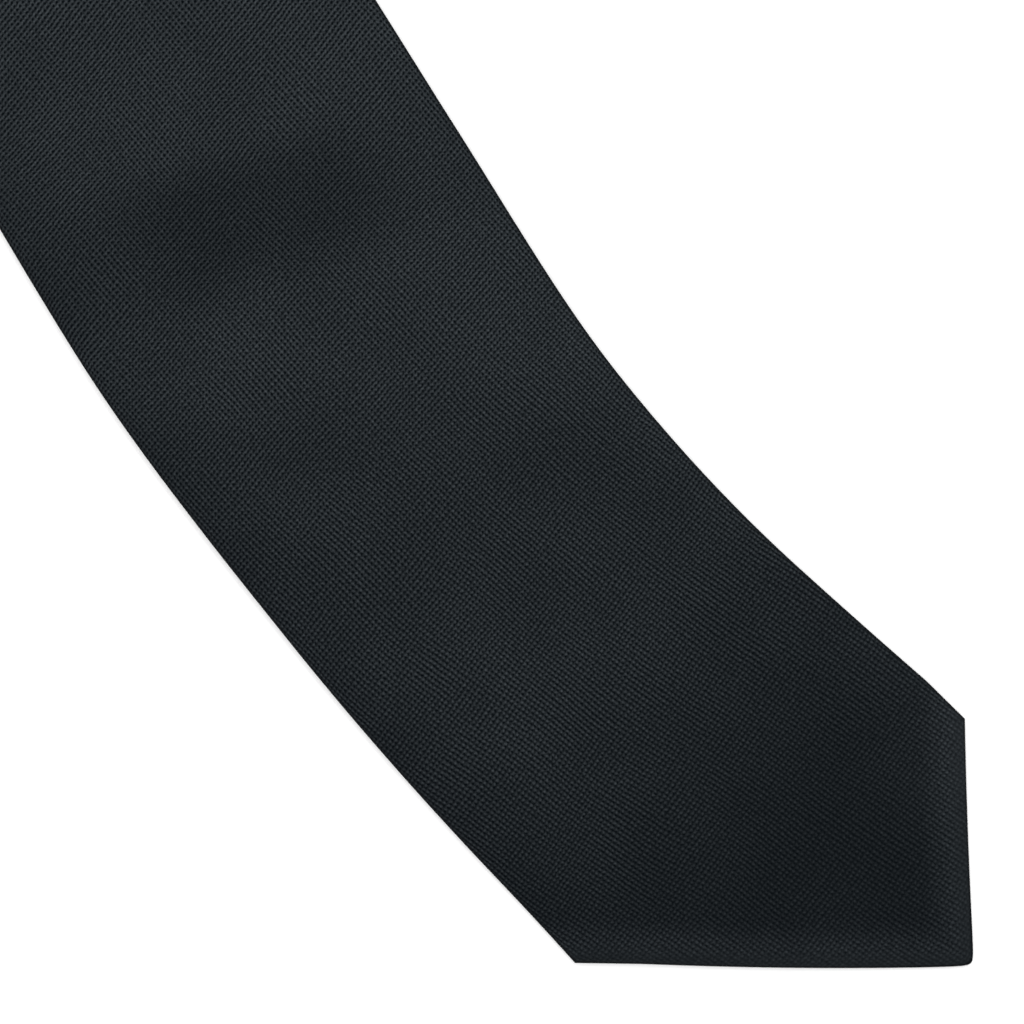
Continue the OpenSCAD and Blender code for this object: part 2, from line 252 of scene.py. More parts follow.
class Nodes:
    """Short ways to add the few node kinds used here."""

    def __init__(self, nt):
        self.nt = nt

    def link(self, a, b):
        self.nt.links.new(a, b)

    def put(self, socket, value):
        if isinstance(value, bpy.types.NodeSocket):
            self.link(value, socket)
        else:
            socket.default_value = value

    def math(self, op, a, b=None, clamp=False):
        n = self.nt.nodes.new("ShaderNodeMath")
        n.operation = op
        n.use_clamp = clamp
        self.put(n.inputs[0], a)
        if b is not None:
            self.put(n.inputs[1], b)
        return n.outputs[0]

    def plus(self, first, *rest):
        for value in rest:
            first = self.math("ADD", first, value)
        return first

    def minus(self, a, b):
        return self.math("SUBTRACT", a, b)

    def times(self, first, *rest):
        for value in rest:
            first = self.math("MULTIPLY", first, value)
        return first

    def size(self, a):
        return self.math("ABSOLUTE", a)

    def wave(self, turns, phase=None):
        """A cosine of so many turns, shifted by a phase in radians."""
        angle = self.times(turns, TURN)
        return self.math("COSINE", angle if phase is None else self.plus(angle, phase))

    def ribs(self, uv, along, across):
        """A sine in the cloth's plane, by its turns per unit along s and across u."""
        return self.math("SINE", self.dot(uv, (TURN * along, TURN * across, 0)))

    def dot(self, a, b):
        n = self.nt.nodes.new("ShaderNodeVectorMath")
        n.operation = "DOT_PRODUCT"
        self.link(a, n.inputs[0])
        n.inputs[1].default_value = b
        return n.outputs["Value"]

    def ramp(self, value, low, high, to_low=0.0, to_high=1.0):
        n = self.nt.nodes.new("ShaderNodeMapRange")
        n.interpolation_type = "SMOOTHSTEP"
        self.put(n.inputs["Value"], value)
        n.inputs["From Min"].default_value = low
        n.inputs["From Max"].default_value = high
        n.inputs["To Min"].default_value = to_low
        n.inputs["To Max"].default_value = to_high
        return n.outputs["Result"]

    def noise(self, vector, scale, detail=2.0, rough=0.5):
        n = self.nt.nodes.new("ShaderNodeTexNoise")
        self.link(vector, n.inputs["Vector"])
        n.inputs["Scale"].default_value = scale
        n.inputs["Detail"].default_value = detail
        n.inputs["Roughness"].default_value = rough
        return n.outputs["Fac"]

    def colours(self, fac, a, b):
        n = self.nt.nodes.new("ShaderNodeMix")
        n.data_type = "RGBA"
        self.put(n.inputs[0], fac)
        for socket, value in ((n.inputs[6], a), (n.inputs[7], b)):
            if isinstance(value, bpy.types.NodeSocket):
                self.link(value, socket)
            else:
                socket.default_value = (*value, 1)
        return n.outputs[2]

    def bump(self, height, distance, strength=1.0):
        n = self.nt.nodes.new("ShaderNodeBump")
        n.inputs["Strength"].default_value = strength
        n.inputs["Distance"].default_value = distance
        self.link(height, n.inputs["Height"])
        return n.outputs["Normal"]

    def uv(self, name="cloth"):
        n = self.nt.nodes.new("ShaderNodeUVMap")
        n.uv_map = name
        return n.outputs["UV"]

    def split(self, uv):
        return self.dot(uv, (1, 0, 0)), self.dot(uv, (0, 1, 0))


# the plain weave's two diagonal counts, in cycles per millimetre of (s, u); the first one's grain
# swings slowly along the blade, up to SWING_END
COUNT_1, COUNT_2 = (-1.150, 0.114, 0), (-0.215, -1.100, 0)
SWING, SWING_END = 0.00125, 240.0


def weave_waves(n, uv, s, u):
    """Floats and pits of the weave as two diagonal wave trains, and single yarns as a finer pair."""
    swing = n.times(n.math("MINIMUM", s, SWING_END), u, SWING)
    jitter = n.noise(uv, 0.42, 1.0)
    drift_1 = n.plus(n.times(n.noise(uv, 0.040, 1.0), 2.2), n.times(jitter, 0.45))
    drift_2 = n.minus(n.times(n.noise(uv, 0.031, 1.0), 3.0), n.times(jitter, 0.35))
    count_1 = n.plus(n.dot(uv, COUNT_1), swing, drift_1)
    count_2 = n.plus(n.dot(uv, COUNT_2), drift_2)
    # the balance drifts, so ribs show one way in some places and the other way in others
    balance = n.plus(n.ramp(n.noise(uv, 0.055, 3.0, 0.6), 0.30, 0.70, -0.17, 0.17),
                     n.ramp(s, 80, 245, 0.44, 0.70))
    floats = n.plus(n.times(n.wave(count_1), n.times(balance, 0.84)),
                    n.times(n.wave(count_2), n.minus(1.0, balance)))
    # the phases put each yarn's painted lit side off its middle, and more so up the blade
    warp = n.wave(n.minus(count_1, count_2), n.ramp(s, 50, 180, -0.9, -2.5))
    weft = n.wave(n.plus(count_1, count_2), n.ramp(s, 120, 230, -1.1, -2.7))
    return floats, n.plus(n.times(warp, 0.24), n.times(weft, 0.27))


def painted_light_and_mottle(n, uv, s, u, edge, hem):
    """Broad painted light and shade on the cloth, laid by place, and a faint random mottle."""
    # painted shade that darkens the point, a painted sheen up the blade, and painted shade in the shallow
    # hollow across it
    tone = n.plus(n.ramp(s, 34, 100, 0.46, 0.87),
                  n.ramp(n.plus(s, n.times(u, 0.66)), 140, 165, 0.0, 0.16))
    across = n.plus(s, n.times(u, 0.25))
    painted_hollow_shade = n.times(n.ramp(across, 178, 191), n.ramp(across, 201, 214, 1.0, 0.0),
                     n.ramp(n.size(n.plus(u, 3.0)), 8, 40, 1.0, 0.2))
    tone = n.minus(tone, n.times(painted_hollow_shade, 0.34))
    # painted shade darkens the face near its right edge and painted light brightens it near its left one
    painted_right_shade = n.times(n.ramp(u, -62, -50), n.ramp(u, -48, -20, 0.24, 0.0))
    painted_left_light = n.times(n.ramp(u, 50, 62, 1.0, 0.0), n.ramp(u, 26, 44, 0.0, 0.12))
    sides = n.plus(1.0, n.minus(painted_left_light, painted_right_shade))
    # painted shade near both sides of the blade, above the point's corners
    painted_shoulder_shade = n.times(n.ramp(s, 70, 84), n.ramp(s, 104, 116, 1.0, 0.0), n.ramp(n.size(u), 16, 36))
    shoulder_shade_factor = n.minus(1.0, n.times(painted_shoulder_shade, 0.07))
    # a painted highlight along the turned hem, stronger and wider on the left of the point
    painted_hem_highlight = n.times(n.ramp(hem, 6.0, 30.0, 0.32, 0.0), n.ramp(u, 12, 30))
    painted_hem_light_left = n.plus(n.ramp(hem, 2.0, 10.0, 2.0, 1.0), painted_hem_highlight)
    painted_hem_light_right = n.ramp(hem, 2.0, 9.0, 1.8, 1.0)
    left = n.ramp(u, -12, 12)
    hems = n.plus(n.times(painted_hem_light_left, left), n.times(painted_hem_light_right, n.minus(1.0, left)))
    mottle = n.ramp(n.noise(uv, 0.06, 2.0, 0.45), 0.3, 0.7, 0.93, 1.07)
    # painted shade: the cloth goes near black along the folded edge
    rim = n.ramp(edge, 0.7, 1.45, 0.02, 1.0)
    return n.times(tone, sides, shoulder_shade_factor, hems, mottle, rim)


def weave(name, light, dark):
    """Plain weave cut on the bias. uv is the place in the cloth, in millimetres."""
    m, n, bsdf = material(name)
    uv = n.uv()
    s, u = n.split(uv)
    edge, hem = n.split(n.uv("edge"))
    floats, yarns = weave_waves(n, uv, s, u)
    # contrast fades towards the point and where the cloth turns over at an edge
    contrast = n.times(n.ramp(s, 18, 90, 0.54, 0.78), n.ramp(edge, 0.8, 1.6, 0.55, 1.0),
                       n.times(n.ramp(hem, 0.8, 4.2, 0.45, 1.0), n.ramp(s, 110, 210, 1.0, 0.90)))
    fuzz = n.ramp(n.noise(uv, 2.9, 2.0, 0.8), 0.3, 0.7, -0.27, 0.27)
    relief = n.plus(n.times(floats, 0.58), n.times(yarns, 0.40), fuzz)
    lit = n.math("MAXIMUM", n.plus(1.0, n.times(n.times(contrast, relief), 2.0)), 0.0)
    slub = n.ramp(n.noise(uv, 1.1, 3.0, 0.7), 0.25, 0.75, 0.34, 0.66)
    lit = n.times(n.math("POWER", lit, n.ramp(s, 90, 220, 1.5, 1.85)), slub)
    # painted light and shade, and a random mottle, over the weave
    tone = painted_light_and_mottle(n, uv, s, u, edge, hem)
    shade = n.math("MULTIPLY", n.times(lit, tone), 0.5, clamp=True)
    n.link(n.colours(shade, dark, light), bsdf.inputs["Base Color"])
    height = n.plus(n.times(floats, 0.5), n.times(yarns, 0.3))
    n.link(n.bump(height, 0.00004, 0.5), bsdf.inputs["Normal"])
    n.link(n.ramp(lit, 0, 1, 0.72, 0.50), bsdf.inputs["Roughness"])
    bsdf.inputs["Specular IOR Level"].default_value = 0.011
    return m


def satin(name, colour):
    """Smooth lining satin: fine slanting twill lines and a soft broken sheen."""
    m, n, bsdf = material(name)
    uv = n.uv()
    ribs = n.ribs(uv, 1 / 0.62, 1 / 0.45)
    floats = n.noise(uv, 3.0, 2.0, 0.6)
    broad = n.noise(uv, 0.06, 2.0)
    shade = n.times(n.ramp(floats, 0.3, 0.7, 0.75, 1.2), n.ramp(broad, 0.3, 0.7, 0.85, 1.1),
                    n.ramp(ribs, -1, 1, 0.62, 1.0))
    n.link(n.colours(shade, tuple(c * 0.25 for c in colour), colour), bsdf.inputs["Base Color"])
    n.link(n.bump(n.plus(n.times(ribs, 0.5), floats), 0.00005, 0.5), bsdf.inputs["Normal"])
    n.link(n.ramp(broad, 0.3, 0.7, 0.36, 0.48), bsdf.inputs["Roughness"])
    bsdf.inputs["Specular IOR Level"].default_value = 0.16
    bsdf.inputs["Anisotropic"].default_value = 0.5
    return m


def wool(name):
    """Brushed undyed interlining wool: open plain weave under a haze of fibres."""
    m, n, bsdf = material(name)
    uv = n.uv()
    cells = n.times(n.ribs(uv, 1 / 1.3, 0), n.ribs(uv, 0, 1 / 1.3))
    fuzz = n.noise(uv, 1.6, 5.0, 0.7)
    flecks = n.noise(uv, 0.5, 3.0, 0.6)
    shade = n.times(n.ramp(fuzz, 0.2, 0.8, 0.6, 1.1), n.ramp(flecks, 0.3, 0.7, 0.9, 1.05))
    n.link(n.colours(shade, (0.36, 0.32, 0.26), (0.66, 0.62, 0.53)), bsdf.inputs["Base Color"])
    n.link(n.bump(n.plus(n.times(cells, 0.4), fuzz), 0.00025, 0.8), bsdf.inputs["Normal"])
    bsdf.inputs["Roughness"].default_value = 0.95
    bsdf.inputs["Specular IOR Level"].default_value = 0.1
    bsdf.inputs["Sheen Weight"].default_value = 0.3
    return m


def thread(name, colour):
    """Twisted sewing thread: uv runs along and round it, in millimetres and turns."""
    m, n, bsdf = material(name)
    uv = n.uv()
    ply = n.ribs(uv, 1 / 0.45, 2)
    fibre = n.noise(uv, 6.0, 3.0, 0.6)
    shade = n.times(n.ramp(ply, -1, 1, 0.55, 1.15), n.ramp(fibre, 0.25, 0.75, 0.8, 1.1))
    n.link(n.colours(shade, tuple(c * 0.2 for c in colour), colour), bsdf.inputs["Base Color"])
    n.link(n.bump(n.plus(ply, fibre), 0.00004, 0.7), bsdf.inputs["Normal"])
    bsdf.inputs["Roughness"].default_value = 0.5
    bsdf.inputs["Specular IOR Level"].default_value = 0.3
    return m


def damask(name, ground, figure, w, h):
    """Blank woven label: fine weft ribs, a plain woven border line and nothing else.
    uv is in millimetres from the label's centre."""
    m, n, bsdf = material(name)
    uv = n.uv()
    s, u = n.split(uv)
    # the underside's place in the cloth is h + BACK_STEP further on
    s = n.math("MINIMUM", n.size(s), n.size(n.minus(s, h + BACK_STEP)))
    edge = n.math("MINIMUM", n.minus(h / 2, s), n.minus(w / 2, n.size(u)))
    line = n.times(n.ramp(edge, 1.8, 2.0), n.ramp(edge, 2.5, 2.7, 1.0, 0.0))
    ribs, cross = n.ribs(uv, 1 / 0.28, 0), n.ribs(uv, 0, 1 / 0.42)
    slub = n.noise(uv, 1.8, 3.0, 0.6)
    tone = n.times(n.ramp(ribs, -1, 1, 0.75, 1.1), n.ramp(slub, 0.3, 0.7, 0.85, 1.1))
    base = n.colours(line, ground, figure)
    n.link(n.colours(tone, tuple(c * 0.3 for c in ground), base), bsdf.inputs["Base Color"])
    height = n.plus(n.times(ribs, 0.5), n.plus(n.times(cross, 0.3), line))
    n.link(n.bump(height, 0.00006, 0.7), bsdf.inputs["Normal"])
    n.link(n.ramp(line, 0, 1, 0.6, 0.4), bsdf.inputs["Roughness"])
    bsdf.inputs["Specular IOR Level"].default_value = 0.08
    return m


SHELL = weave("charcoal_weave", (0.0434, 0.0507, 0.0560), (0.0006, 0.0015, 0.0024))
SATIN = satin("black_satin", (0.010, 0.011, 0.0135))
WOOL = wool("brushed_wool")
THREAD = thread("black_thread", (0.020, 0.022, 0.026))
LABEL = damask("label_weave", (0.014, 0.016, 0.020), (0.080, 0.084, 0.092), LABEL_W, LABEL_H)
CARE = damask("care_weave", (0.012, 0.013, 0.016), (0.070, 0.073, 0.080), CARE_W, CARE_H)

# ---------------------------------------------------------------- camera, straight above the wide blade's end
LENS, SENSOR = 100.0, 36.0
VIEW_W, VIEW_TURN = 191.15, math.radians(50.0)     # cloth across the frame, and the frame's turn
VIEW_FROM_TIP = (-121.8, -1.9)                     # the frame's middle, from the wide point's tip
CLOTH_TOP = 3.0
tip_x, tip_y, _ = line_at(0.0)
cam_data = bpy.data.cameras.new("camera")
cam_data.lens = LENS
cam_data.sensor_width = SENSOR
cam = bpy.data.objects.new("camera", cam_data)
bpy.context.scene.collection.objects.link(cam)
cam.location = ((tip_x + VIEW_FROM_TIP[0]) * MM, (tip_y + VIEW_FROM_TIP[1]) * MM,
                (CLOTH_TOP + VIEW_W * LENS / SENSOR) * MM)
cam.rotation_euler = (0, 0, VIEW_TURN)
bpy.context.scene.camera = cam


# ---------------------------------------------------------------- shell cloth
EDGE_TOP, EDGE_LOW = 4.4, 1.5    # how far in from the side the face and the back start to turn over
EDGE_STEPS = 4                   # lines of each quarter of the turn
WAIST_V = 0.36                   # height of the outermost line of the edge, as a share of the thickness
# steps across each back flap
FLAP = (0.08, 0.17, 0.26, 0.35, 0.44, 0.53, 0.61, 0.69, 0.76, 0.82, 0.88, 0.92, 0.96, 1.0)
FLAP_V = 0.10                    # how far the middle of a flap stands in from the underside
GAP = 0.2                        # where the outer flap's edge lies beside the centre line
LAP, LAP_V = 2.4, 0.60           # how far the inner flap runs on under it, and how high it lies there
LAP_FROM, LAP_OVER = 3.6, 3.0    # where it starts to rise, and over what distance
TURNED_UNDER = ((0.25, 0.25), (0.20, 0.62), (-0.9, 0.80))   # a flap's last lines: further on, and up
UNDER_RIM = 3.0                  # stands for their distance from the folded edge
PROUD = 0.36                     # how far the hemmed edges of a point swell out past the pressed line
SEAM_REACH = 95.0                # how far the bias seam's slant is felt in the rows beside it
SEAM_FINE, FINE = 34.0, 1.0      # stretch of close rows beside a seam, which folds, and their step
GROOVE_W, GROOVE_D = 1.6, 0.5    # the seam is a shallow groove on the face
ON_FACE = 1.2                    # cloth higher than this is the face


def edge_profile():
    """(inset, height share, path length) from the face, round the edge, to the back."""
    out = []
    for k in range(1, EDGE_STEPS + 1):
        a = math.pi / 2 * (1 - k / EDGE_STEPS)
        out.append((EDGE_TOP * (1 - math.cos(a)), WAIST_V + (1 - WAIST_V) * math.sin(a)))
    for k in range(1, EDGE_STEPS + 1):
        a = -math.pi / 2 * k / EDGE_STEPS
        out.append((EDGE_LOW * (1 - math.cos(a)), WAIST_V + WAIST_V * math.sin(a)))
    path, last, total = [], (EDGE_TOP, 1.0), 0
    for d, v in out:
        total += math.hypot(d - last[0], (v - last[1]) * TIE_T)
        path.append((d, v, total))
        last = (d, v)
    return path


PROFILE = edge_profile()
TO_RIM = PROFILE[EDGE_STEPS - 1][2]    # path from the face to the outermost line of the edge


class End:
    """One pointed end, in its own terms: q is the distance from the point along the centre line.
    Its outline is a blunted V of the given slope, as far as the zone's end, and the sides beyond."""

    def __init__(self, slope, off, width, tack, zone, blunt, station):
        self.slope = slope          # of the point's edge: across over along
        self.sin = slope / math.hypot(1, slope)
        self.off = off              # of the tip from the centre line
        self.width = width          # across the corners
        self.tack = tack            # where the bar tack closes the back
        self.zone = zone            # rows keep the point's shape as far as this
        self.blunt = blunt          # how round the tip is
        self.station = station      # s of a distance from the point

    def q_edge(self, f, d):
        """Where column f meets the point's edge drawn in by d."""
        q = np.full_like(f, self.width / 2)
        for _ in range(12):
            u = f * (half_w(self.station(q)) - d)
            q = np.sqrt(((u - self.off) / self.slope) ** 2 + self.blunt**2) + (d - PROUD) / self.sin
        return q

    def at(self, f, t, d):
        """(q, u) of column f and row t on the outline drawn in by d."""
        f, t = np.broadcast_arrays(np.asarray(f, float), np.asarray(t, float))
        q0 = self.q_edge(f, d)
        share = np.clip(t / self.zone, 0, 1)
        q = q0 * (1 - share) + self.zone * share + np.maximum(t - self.zone, 0)
        return q, f * (half_w(self.station(q)) - d)

    def flap(self, q, side):
        """Distance from the centre line to the flap's inner edge."""
        corner = (self.width / 2 - side * self.off) / self.slope
        return GAP + np.maximum(0, self.tack - q) * (self.width / 2 - HEM) / (self.tack - corner)


def bias(s, arc, seam):
    """How far the bias seam, at 45 degrees in the flat cloth, carries the rows beside it along."""
    return ease((SEAM_REACH - np.abs(s - seam)) / SEAM_REACH) * arc


def groove(s, v, seam):
    """Depth of the seam's groove, on the face only."""
    return GROOVE_D * ease((GROOVE_W - np.abs(s - seam)) / GROOVE_W) * (v > ON_FACE)


def pointed_shell(name, end, rows, cols, seam, flip):
    """Cloth of a pointed end: face, turned edges, hems and back flaps in one sheet, open along the back."""
    rows, cols = np.asarray(rows, float), np.asarray(cols, float)
    nr, nc = len(rows), len(cols)
    F, T = np.meshgrid(cols, rows)
    q, u = end.at(F, T, EDGE_TOP)
    s = end.station(q)
    v = thick(s) + swell(s, u)
    S, U, V = [s.ravel()], [u.ravel()], [v.ravel()]
    uvs = [np.stack([s.ravel(), u.ravel()], -1)]
    arcs = [u.ravel()]
    to_side = half_w(s) - np.abs(u)
    to_hem = (q - np.abs(u - end.off) / end.slope) * end.sin
    rims = [(np.minimum(to_side, to_hem) - EDGE_TOP + TO_RIM).ravel()]
    hems = [to_hem.ravel()]
    faces = grid_faces(nr, nc)
    # the boundary: up one side from the corner, across the point, up the other side
    ring = ([(i, nc - 1) for i in range(nr - 1, 0, -1)] + [(0, j) for j in range(nc - 1, -1, -1)]
            + [(i, 0) for i in range(1, nr)])
    ids = np.array([i * nc + j for i, j in ring])
    f = np.array([cols[j] for i, j in ring])
    t = np.array([rows[i] for i, j in ring])
    n = len(ring)
    base = np.stack([s.ravel()[ids], u.ravel()[ids]], -1)
    q_out, u_out = end.at(f, t, 0.0)
    s_out = end.station(q_out)
    out = (np.stack([s_out, u_out], -1) - base) / EDGE_TOP
    prev = ids
    count = nr * nc
    waves = swell(base[:, 0], base[:, 1])

    def add(s_, u_, v_, uv_, arc_, rim_):
        """One more line of points along the boundary, joined to the last one."""
        nonlocal prev, count
        for values, new in ((S, s_), (U, u_), (V, v_), (uvs, uv_), (arcs, arc_)):
            values.append(new)
        rims.append(np.zeros(n) + rim_)
        hems.append((np.abs(s_ - end.station(0.0)) - np.abs(u_ - end.off) / end.slope) * end.sin)
        line = np.arange(count, count + n)
        for k in range(n - 1):
            faces.append((prev[k], prev[k + 1], line[k + 1], line[k]))
        prev, count = line, count + n

    side = np.sign(f)
    for d, share, path in PROFILE:
        q_, u_ = end.at(f, t, d)
        s_ = end.station(q_)
        add(s_, u_, thick(s_) * share + waves * share, base + out * path, base[:, 1] + side * path,
            abs(path - TO_RIM))
    # from the turned edge in to the hem's or flap's inner edge
    low_s, low_u = s_, u_
    q_h, u_h = end.at(f, t, HEM)
    on_side = t > 0
    reach = np.minimum(np.abs(u_h), end.flap(q_h, side))
    wrap = np.where(side < 0, ease((q_h - end.tack) / 8.0), 0.0)
    goal_u = np.where(on_side, side * reach + LAP * wrap, u_h)
    goal_s = end.station(q_h)
    span = np.hypot(goal_s - low_s, goal_u - low_u)
    for x in FLAP:
        s_, u_ = mix(low_s, goal_s, x), mix(low_u, goal_u, x)
        v_ = FLAP_V * np.sin(math.pi * x) * np.where(on_side, 1, 0.3) * (1 + 0.5 * np.sin(s_ / 13.0))
        v_ = v_ + LAP_V * wrap * ease((u_ + LAP_FROM) / LAP_OVER)
        far = path + span * x
        add(s_, u_, v_, base + out * far[:, None], base[:, 1] + side * far, far - TO_RIM)
    # the inner edge is turned under
    toward = np.stack([goal_s - low_s, goal_u - low_u], -1)
    toward /= np.maximum(np.hypot(*toward.T), 1e-6)[:, None]
    for dx, dv in TURNED_UNDER:
        s_, u_ = goal_s + toward[:, 0] * dx, goal_u + toward[:, 1] * dx
        add(s_, u_, mix(dv, LAP_V + 0.3 * dv, wrap), base + out * (path + span + abs(dx) + dv)[:, None],
            base[:, 1] + side * (path + span + dv), UNDER_RIM)
    S, U, V, A = (np.concatenate(x) for x in (S, U, V, arcs))
    uvs = np.concatenate(uvs)
    shift = bias(S, A, seam)
    pts = place(S + shift, U * half_w(S + shift) / half_w(S), V - groove(S, V, seam))
    uvs[:, 0] += shift
    ob = piece(name, pts, faces, SHELL, uvs, np.stack([np.concatenate(rims), np.concatenate(hems)], -1))
    if flip:
        ob.data.flip_normals()
    return thicken(ob, CLOTH_T)


def tube_shell(name, start, stop, seams):
    """A stretch of neck: one ring of cloth swept along, open along the back."""
    rows = steps((start, start + SEAM_FINE, FINE if start in seams else 4.0),
                 (start + SEAM_FINE, stop - SEAM_FINE, 4.0),
                 (stop - SEAM_FINE, stop, FINE if stop in seams else 4.0))
    face = np.linspace(1, -1, 25)
    S, U, V, A, R = [], [], [], [], []
    for s in rows:
        hw = float(half_w(s))
        t = float(thick(s))
        sides = []
        for inner, base_v in ((GAP, 0.0), (-LAP, LAP_V)):
            ring = [(hw - d, t * share, hw - EDGE_TOP + path, abs(path - TO_RIM))
                    for d, share, path in PROFILE]
            last, _, arc, rim = ring[-1]
            for x in FLAP:
                away = mix(last, inner, x)
                rise = base_v * float(ease((LAP_FROM - away) / LAP_OVER))
                ring.append((away, FLAP_V * math.sin(math.pi * x) + rise,
                             arc + (last - inner) * x, rim + (last - inner) * x))
            for dx, dv in TURNED_UNDER:
                up = dv if base_v == 0 else base_v + 0.3 * dv
                ring.append((inner - dx, up, ring[-1][2] + 0.4, UNDER_RIM))
            sides.append(np.array(ring))
        flat = face * (hw - EDGE_TOP)
        left, right = sides[0][::-1], sides[1] * (-1, 1, -1, 1)
        top = np.stack([flat, t + swell(s, flat), flat, hw - np.abs(flat) - EDGE_TOP + TO_RIM], -1)
        u, v, a, r = np.concatenate([left, top, right]).T
        for values, new in ((S, [s] * len(u)), (U, u), (V, v), (A, a), (R, r)):
            values.append(new)
    S, U, V, A, R = (np.array(x, float) for x in (S, U, V, A, R))
    cols = S.shape[1]
    shift = np.zeros_like(S)
    dip = np.zeros_like(S)
    for seam in seams:
        shift += bias(S, A, seam)
        dip += groove(S, V, seam)
    uv = np.stack([S + shift, A], -1).reshape(-1, 2)
    pts = place(S + shift, U * half_w(S + shift) / half_w(S), V - dip).reshape(-1, 3)
    edge = np.stack([R, np.full_like(R, FAR_FROM_EDGES[1])], -1).reshape(-1, 2)
    return thicken(piece(name, pts, grid_faces(len(rows), cols, flip=True), SHELL, uv, edge), CLOTH_T)


BLADE = End(BLADE_SLOPE, POINT_OFF, BLADE_W, TACK_S, zone=110.0, blunt=1.0, station=lambda q: q)
TAIL = End(TAIL_SLOPE, 0.0, TAIL_W, TAIL_TACK, zone=70.0, blunt=0.7, station=lambda q: TIE_L - q)

# columns as shares of the half width, closer together beside each tip, and rows by distance from it
tip_f = POINT_OFF / (BLADE_W / 2 - EDGE_TOP / 2)
blade_cols = np.unique(np.round(np.concatenate([
    np.linspace(-1, tip_f, 28), np.linspace(tip_f, 1, 19),
    tip_f + np.array([-3.2, -2, -1.2, -0.6, -0.25, 0.25, 0.6, 1.2, 2, 3.2]) / 40]), 4))
blade_rows = steps((0, 6, 1.2), (6, 110, 1.9), (110, 250, 2.5), (250, BLADE_L - SEAM_FINE, 5.0),
                   (BLADE_L - SEAM_FINE, BLADE_L, FINE))
blade_shell = pointed_shell("blade_shell_cloth", BLADE, blade_rows, blade_cols, SEAM_A, False)
tail_cols = np.unique(np.round(np.concatenate([
    np.linspace(-1, 1, 27), np.array([-1.8, -1, -0.5, -0.2, 0.2, 0.5, 1, 1.8]) / 17]), 4))
tail_rows = steps((0, 6, 1.2), (6, 70, 2.0), (70, TAIL_L - SEAM_FINE, 5.0),
                  (TAIL_L - SEAM_FINE, TAIL_L, FINE))
tail_shell = pointed_shell("tail_shell_cloth", TAIL, tail_rows, tail_cols, SEAM_B, True)
neck_a = tube_shell("neck_shell_cloth_a", SEAM_A, MIDDLE, [SEAM_A])
neck_b = tube_shell("neck_shell_cloth_b", MIDDLE, SEAM_B, [SEAM_B])


# ---------------------------------------------------------------- inner layers
def edge_hi(s):
    """The tie's outline on the +u side."""
    return min(half_w(s), POINT_OFF + s * BLADE_SLOPE, (TIE_L - s) * TAIL_SLOPE)


def edge_lo(s):
    """The tie's outline on the -u side."""
    return -min(half_w(s), s * BLADE_SLOPE - POINT_OFF, (TIE_L - s) * TAIL_SLOPE)


def layer(name, stations, low, high, inset, mat, cols):
    """A closed flat layer between two heights, following the tie's outline drawn in by inset."""
    S, U, V = [], [], []
    for s in stations:
        u = np.linspace(float(edge_hi(s)) - inset, float(edge_lo(s)) + inset, cols)
        S.append([s] * (2 * cols))
        U.append(list(u) + list(u[::-1]))
        V.append([float(high(s))] * cols + [float(low(s))] * cols)
    S, U, V = (np.array(x, float) for x in (S, U, V))
    waves = swell(S, U) * 0.6 * (V > 1.5)
    points, uv = place(S, U, V + waves).reshape(-1, 3), np.stack([S, U], -1).reshape(-1, 2)
    return tidy_normals(piece(name, points, closed_faces(*S.shape), mat, uv, smooth=False))


LINED, TAIL_LINED = 150.0, 105.0       # how far the tipping reaches from each tip
LINING_LOW, LINING_HIGH = CLOTH_T + 0.50, CLOTH_T + 0.75
LINING_IN, PAD_IN = 2.4, 4.6           # inset of tipping and interlining from the tie's outline
PAD_FINE = 12.0                        # stretch of close rows in the interlining beside a seam


def at_fold(s):
    """1 in the two places where the tie is folded, where its padding is pressed thinner."""
    return max(ease((18 - abs(s - SEAM_A)) / 6), ease((14 - abs(s - SEAM_B)) / 6))


def pad_high(s):
    """Upper face of the interlining."""
    return thick(s) - CLOTH_T - 0.35 - 0.25 * at_fold(s)


def pad_low(s):
    """Lower face of the interlining, higher where it passes over a tipping."""
    over_lining = max(ease((LINED + 12 - s) / 10), ease((s - (TIE_L - TAIL_LINED - 12)) / 10))
    return 1.05 + 0.25 * over_lining + 0.6 * at_fold(s)


def pad(name, stations, cols=11):
    return layer(name, stations, pad_low, pad_high, PAD_IN, WOOL, cols)


def tipping(name, stations, cols):
    return layer(name, stations, lambda s: LINING_LOW, lambda s: LINING_HIGH, LINING_IN, SATIN, cols)


# the stations where the wide point's edge meets each side, and rows that catch both points' shape
corner_hi, corner_lo = (BLADE_W / 2 - POINT_OFF) / BLADE_SLOPE, (BLADE_W / 2 + POINT_OFF) / BLADE_SLOPE
tip_stations = [8, 12, 17, 23, 29, corner_hi, 44, corner_lo]
tail_stations = [TIE_L - TAIL_W / 2, TIE_L - 16, TIE_L - 12, TIE_L - 9]
fine_a, fine_b = SEAM_A - PAD_FINE, SEAM_B - PAD_FINE
blade_pad = pad("blade_interlining_wool",
                tip_stations + list(steps((62, fine_a, 8), (fine_a, SEAM_A, FINE))), 15)
neck_pad_a = pad("neck_interlining_wool_a",
                 steps((SEAM_A, SEAM_A + PAD_FINE, FINE), (SEAM_A + PAD_FINE, MIDDLE, 8)))
neck_pad_b = pad("neck_interlining_wool_b", steps((MIDDLE, fine_b, 8), (fine_b, SEAM_B, FINE)))
tail_pad = pad("tail_interlining_wool",
               list(steps((SEAM_B, SEAM_B + PAD_FINE, FINE), (SEAM_B + PAD_FINE, TIE_L - 26, 8)))
               + tail_stations)
blade_lining = tipping("blade_tipping_satin", [5, 8] + tip_stations[1:] + list(steps((62, LINED, 6))), 21)
